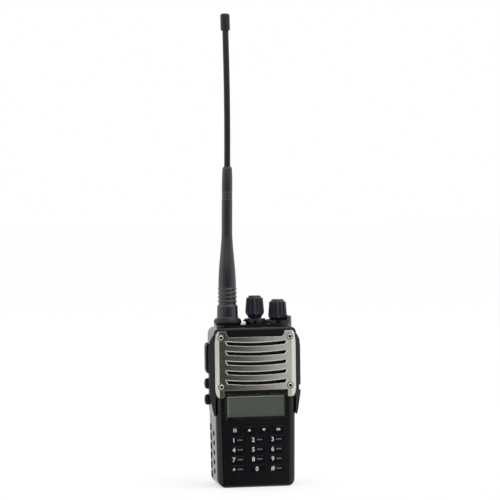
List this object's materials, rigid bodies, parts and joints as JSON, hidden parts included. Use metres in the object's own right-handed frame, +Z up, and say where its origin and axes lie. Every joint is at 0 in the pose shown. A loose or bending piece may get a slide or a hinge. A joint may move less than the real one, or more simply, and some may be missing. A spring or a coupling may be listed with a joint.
{
  "type": "two way radio",
  "caption": "Handheld two way radio with a slotted metal speaker grille, display, push keypad, two turning knobs, side keys, a clip-on battery and a long whip antenna.",
  "frame": {"origin": "middle of the base, on the face it stands on", "axes": "+Z up along the antenna, -Y out of the front with the grille and keypad, +X to the right seen from the front"},
  "size_m": [0.0662, 0.0337, 0.3275],
  "materials": {
    "case_plastic": "fine moulded texture",
    "grille_metal": "satin, brushed across",
    "screw_metal": "satin",
    "lens_clear": "clear",
    "display": "grey-green, unlit",
    "holder_plastic": "white tray",
    "key_rubber": "smooth, printed digits",
    "button_rubber": "smooth",
    "mat_rubber": "plain",
    "board": "solder resist",
    "can_metal": "plated tin",
    "speaker_metal": "grey paint",
    "speaker_cloth": "open black cloth",
    "shaft_metal": "turned",
    "knob_plastic": "soft satin",
    "gold_metal": "plated",
    "antenna_rubber": "satin",
    "collar_plastic": "satin",
    "whip_plastic": "smooth sleeve",
    "switch_plastic": "plain",
    "led": "frosted lens",
    "battery_plastic": "fine moulded texture",
    "cell_metal": "wrapped cells"
  },
  "bodies": {
    "radio": {"front_case": "case_plastic", "speaker_grille": "grille_metal", "grille_screws": "screw_metal", "display_lens": "lens_clear", "lcd_panel": "display", "lcd_holder": "holder_plastic", "keypad_mat": "mat_rubber", "keypad_board": "board", "main_board": "board", "rf_shield": "can_metal", "board_screws": "screw_metal", "speaker": "speaker_metal", "speaker_mesh": "speaker_cloth", "microphone": "can_metal", "channel_encoder": "can_metal", "volume_pot": "can_metal", "shaft_nuts": "screw_metal", "antenna_connector": "gold_metal", "antenna_plug": "gold_metal", "antenna_collar": "collar_plastic", "antenna_boot": "antenna_rubber", "antenna_whip": "whip_plastic", "antenna_cap": "antenna_rubber", "side_board": "board", "side_switches": "switch_plastic", "jack_block": "switch_plastic", "led_lens": "led", "rear_chassis": "case_plastic", "chassis_screws": "screw_metal", "case_seal": "mat_rubber", "radio_contacts": "gold_metal", "latch_spring": "can_metal"},
    "ptt": {"ptt_button": "button_rubber"},
    "upper_side_key": {"side_key_upper": "button_rubber"},
    "lower_side_key": {"side_key_lower": "button_rubber"},
    "jack_flap": {"jack_cover": "case_plastic"},
    "channel_control": {"channel_knob": "knob_plastic", "channel_shaft": "shaft_metal"},
    "volume_control": {"volume_knob": "knob_plastic", "volume_shaft": "shaft_metal"},
    "battery": {"battery_case": "battery_plastic", "battery_cover": "battery_plastic", "battery_inside": "cell_metal"},
    "latch": {"battery_latch": "battery_plastic"},
    "key_1_body": {"key_1": "key_rubber"},
    "key_2_body": {"key_2": "key_rubber"},
    "key_3_body": {"key_3": "key_rubber"},
    "key_4_body": {"key_4": "key_rubber"},
    "key_5_body": {"key_5": "key_rubber"},
    "key_6_body": {"key_6": "key_rubber"},
    "key_7_body": {"key_7": "key_rubber"},
    "key_8_body": {"key_8": "key_rubber"},
    "key_9_body": {"key_9": "key_rubber"},
    "key_star_body": {"key_star": "key_rubber"},
    "key_0_body": {"key_0": "key_rubber"},
    "key_hash_body": {"key_hash": "key_rubber"},
    "function_key_1_body": {"function_key_1": "key_rubber"},
    "function_key_2_body": {"function_key_2": "key_rubber"},
    "function_key_3_body": {"function_key_3": "key_rubber"},
    "function_key_4_body": {"function_key_4": "key_rubber"}
  },
  "joints": [
    {"name": "key_1_press", "type": "slide", "parent": "radio", "child": "key_1_body", "axis": [0, 1, 0], "range_m": [0, 0.0007], "stiffness_N_per_m": 600, "springref_m": -0.0005},
    {"name": "key_2_press", "type": "slide", "parent": "radio", "child": "key_2_body", "axis": [0, 1, 0], "range_m": [0, 0.0007], "stiffness_N_per_m": 600, "springref_m": -0.0005},
    {"name": "key_3_press", "type": "slide", "parent": "radio", "child": "key_3_body", "axis": [0, 1, 0], "range_m": [0, 0.0007], "stiffness_N_per_m": 600, "springref_m": -0.0005},
    {"name": "key_4_press", "type": "slide", "parent": "radio", "child": "key_4_body", "axis": [0, 1, 0], "range_m": [0, 0.0007], "stiffness_N_per_m": 600, "springref_m": -0.0005},
    {"name": "key_5_press", "type": "slide", "parent": "radio", "child": "key_5_body", "axis": [0, 1, 0], "range_m": [0, 0.0007], "stiffness_N_per_m": 600, "springref_m": -0.0005},
    {"name": "key_6_press", "type": "slide", "parent": "radio", "child": "key_6_body", "axis": [0, 1, 0], "range_m": [0, 0.0007], "stiffness_N_per_m": 600, "springref_m": -0.0005},
    {"name": "key_7_press", "type": "slide", "parent": "radio", "child": "key_7_body", "axis": [0, 1, 0], "range_m": [0, 0.0007], "stiffness_N_per_m": 600, "springref_m": -0.0005},
    {"name": "key_8_press", "type": "slide", "parent": "radio", "child": "key_8_body", "axis": [0, 1, 0], "range_m": [0, 0.0007], "stiffness_N_per_m": 600, "springref_m": -0.0005},
    {"name": "key_9_press", "type": "slide", "parent": "radio", "child": "key_9_body", "axis": [0, 1, 0], "range_m": [0, 0.0007], "stiffness_N_per_m": 600, "springref_m": -0.0005},
    {"name": "key_star_press", "type": "slide", "parent": "radio", "child": "key_star_body", "axis": [0, 1, 0], "range_m": [0, 0.0007], "stiffness_N_per_m": 600, "springref_m": -0.0005},
    {"name": "key_0_press", "type": "slide", "parent": "radio", "child": "key_0_body", "axis": [0, 1, 0], "range_m": [0, 0.0007], "stiffness_N_per_m": 600, "springref_m": -0.0005},
    {"name": "key_hash_press", "type": "slide", "parent": "radio", "child": "key_hash_body", "axis": [0, 1, 0], "range_m": [0, 0.0007], "stiffness_N_per_m": 600, "springref_m": -0.0005},
    {"name": "function_key_1_press", "type": "slide", "parent": "radio", "child": "function_key_1_body", "axis": [0, 1, 0], "range_m": [0, 0.0007], "stiffness_N_per_m": 600, "springref_m": -0.0005},
    {"name": "function_key_2_press", "type": "slide", "parent": "radio", "child": "function_key_2_body", "axis": [0, 1, 0], "range_m": [0, 0.0007], "stiffness_N_per_m": 600, "springref_m": -0.0005},
    {"name": "function_key_3_press", "type": "slide", "parent": "radio", "child": "function_key_3_body", "axis": [0, 1, 0], "range_m": [0, 0.0007], "stiffness_N_per_m": 600, "springref_m": -0.0005},
    {"name": "function_key_4_press", "type": "slide", "parent": "radio", "child": "function_key_4_body", "axis": [0, 1, 0], "range_m": [0, 0.0007], "stiffness_N_per_m": 600, "springref_m": -0.0005},
    {"name": "ptt_press", "type": "slide", "parent": "radio", "child": "ptt", "axis": [1, 0, 0], "range_m": [0, 0.0012], "stiffness_N_per_m": 900, "springref_m": -0.0006},
    {"name": "upper_side_key_press", "type": "slide", "parent": "radio", "child": "upper_side_key", "axis": [1, 0, 0], "range_m": [0, 0.0008], "stiffness_N_per_m": 700, "springref_m": -0.0005},
    {"name": "lower_side_key_press", "type": "slide", "parent": "radio", "child": "lower_side_key", "axis": [1, 0, 0], "range_m": [0, 0.0008], "stiffness_N_per_m": 700, "springref_m": -0.0005},
    {"name": "channel_turn", "type": "hinge", "parent": "radio", "child": "channel_control", "pos_m": [0.0027, 0, 0.1205], "axis": [0, 0, 1], "continuous": true},
    {"name": "volume_turn", "type": "hinge", "parent": "radio", "child": "volume_control", "pos_m": [0.0189, 0, 0.1205], "axis": [0, 0, 1], "range_deg": [-140, 140]},
    {"name": "jack_cover_swing", "type": "hinge", "parent": "radio", "child": "jack_flap", "pos_m": [0.0299, -0.0055, 0.09985], "axis": [0, -1, 0], "range_deg": [0, 95]},
    {"name": "battery_slide", "type": "slide", "parent": "radio", "child": "battery", "axis": [0, 0, -1], "range_m": [0, 0.09]},
    {"name": "latch_slide", "type": "slide", "parent": "radio", "child": "latch", "axis": [0, 0, 1], "range_m": [0, 0.002], "stiffness_N_per_m": 400, "springref_m": -0.0015, "deforming": ["latch_spring"]}
  ]
}
